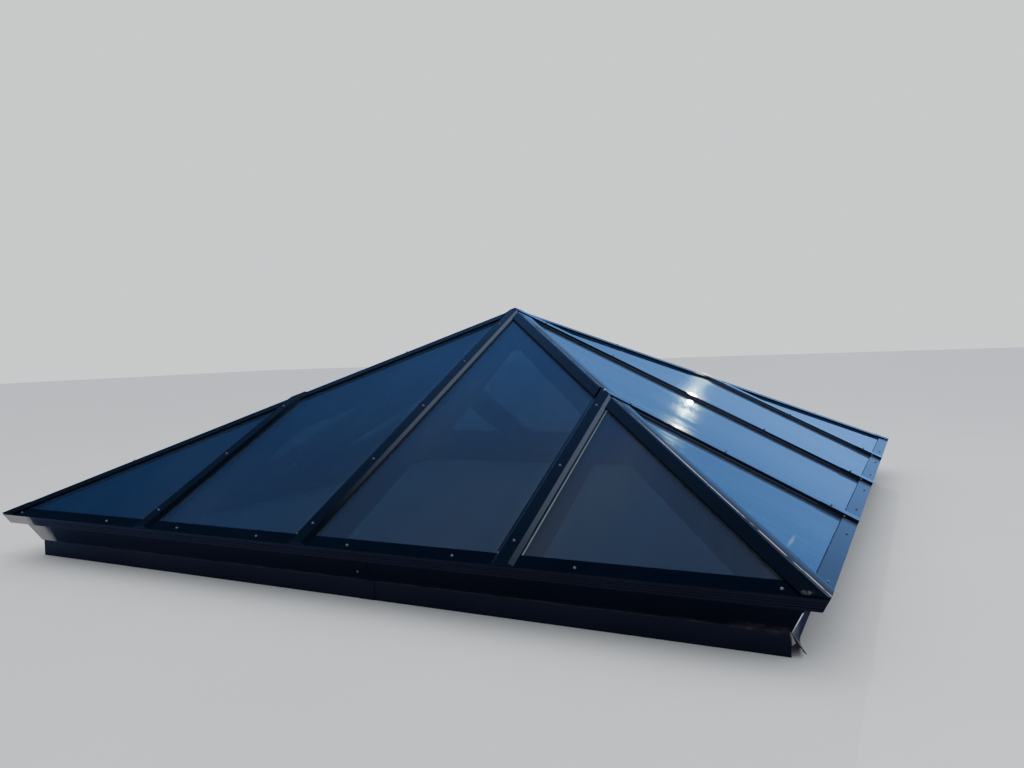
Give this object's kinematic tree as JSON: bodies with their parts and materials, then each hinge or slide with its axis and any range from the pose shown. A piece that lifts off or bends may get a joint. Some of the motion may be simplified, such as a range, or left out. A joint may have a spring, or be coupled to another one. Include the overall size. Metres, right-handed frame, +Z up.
{
  "type": "roof skylight",
  "caption": "Square hipped roof skylight: four glazed slopes in a dark painted aluminium frame with low screwed covers, on a sill with sheet flashing that laps a roof curb.",
  "frame": {"origin": "middle of the square plan at the hem of the flashing skirts", "axes": "+Z up, -Y the side that faces the picture's viewer, +X along that side's eave to the right"},
  "size_m": [3.927, 3.927, 1.2229],
  "materials": {
    "sill_paint": "gloss dark bronze paint",
    "cap_paint": "gloss dark bronze paint",
    "cover_paint": "gloss dark bronze paint",
    "hip_paint": "gloss dark bronze paint",
    "flashing_paint": "satin dark bronze paint",
    "bar_paint": "satin dark bronze paint",
    "glass": "clear blue tinted, polished",
    "outer_gasket": "matt grey extrusion",
    "inner_gasket": "matt black extrusion",
    "spacer": "mill finish",
    "screw": "plain stainless",
    "block": "matt black",
    "clip": "mill finish"
  },
  "bodies": {
    "root": {"sill_front": "sill_paint", "common_rafter_front": "bar_paint", "jack_rafter_front_left": "bar_paint", "jack_rafter_front_right": "bar_paint", "sill_cap_front": "cap_paint", "pane_front_left_corner": "glass", "pane_front_left_middle": "glass", "pane_front_right_middle": "glass", "pane_front_right_corner": "glass", "rafter_covers_front": "cover_paint", "flashing_front": "flashing_paint", "sill_right": "sill_paint", "common_rafter_right": "bar_paint", "jack_rafter_right_left": "bar_paint", "jack_rafter_right_right": "bar_paint", "sill_cap_right": "cap_paint", "pane_right_left_corner": "glass", "pane_right_left_middle": "glass", "pane_right_right_middle": "glass", "pane_right_right_corner": "glass", "rafter_covers_right": "cover_paint", "flashing_right": "flashing_paint", "sill_back": "sill_paint", "common_rafter_back": "bar_paint", "jack_rafter_back_left": "bar_paint", "jack_rafter_back_right": "bar_paint", "sill_cap_back": "cap_paint", "pane_back_left_corner": "glass", "pane_back_left_middle": "glass", "pane_back_right_middle": "glass", "pane_back_right_corner": "glass", "rafter_covers_back": "cover_paint", "flashing_back": "flashing_paint", "sill_left": "sill_paint", "common_rafter_left": "bar_paint", "jack_rafter_left_left": "bar_paint", "jack_rafter_left_right": "bar_paint", "sill_cap_left": "cap_paint", "pane_left_left_corner": "glass", "pane_left_left_middle": "glass", "pane_left_right_middle": "glass", "pane_left_right_corner": "glass", "rafter_covers_left": "cover_paint", "flashing_left": "flashing_paint", "hip_rafter_front_right": "bar_paint", "hip_covers_front_right": "hip_paint", "hip_rafter_back_right": "bar_paint", "hip_covers_back_right": "hip_paint", "hip_rafter_back_left": "bar_paint", "hip_covers_back_left": "hip_paint", "hip_rafter_front_left": "bar_paint", "hip_covers_front_left": "hip_paint", "apex_hub": "bar_paint", "apex_cap": "hip_paint", "pane_spacers": "spacer", "outer_gaskets": "outer_gasket", "inner_gaskets": "inner_gasket", "screws": "screw", "setting_blocks": "block", "rafter_clips": "clip"}
  },
  "joints": []
}
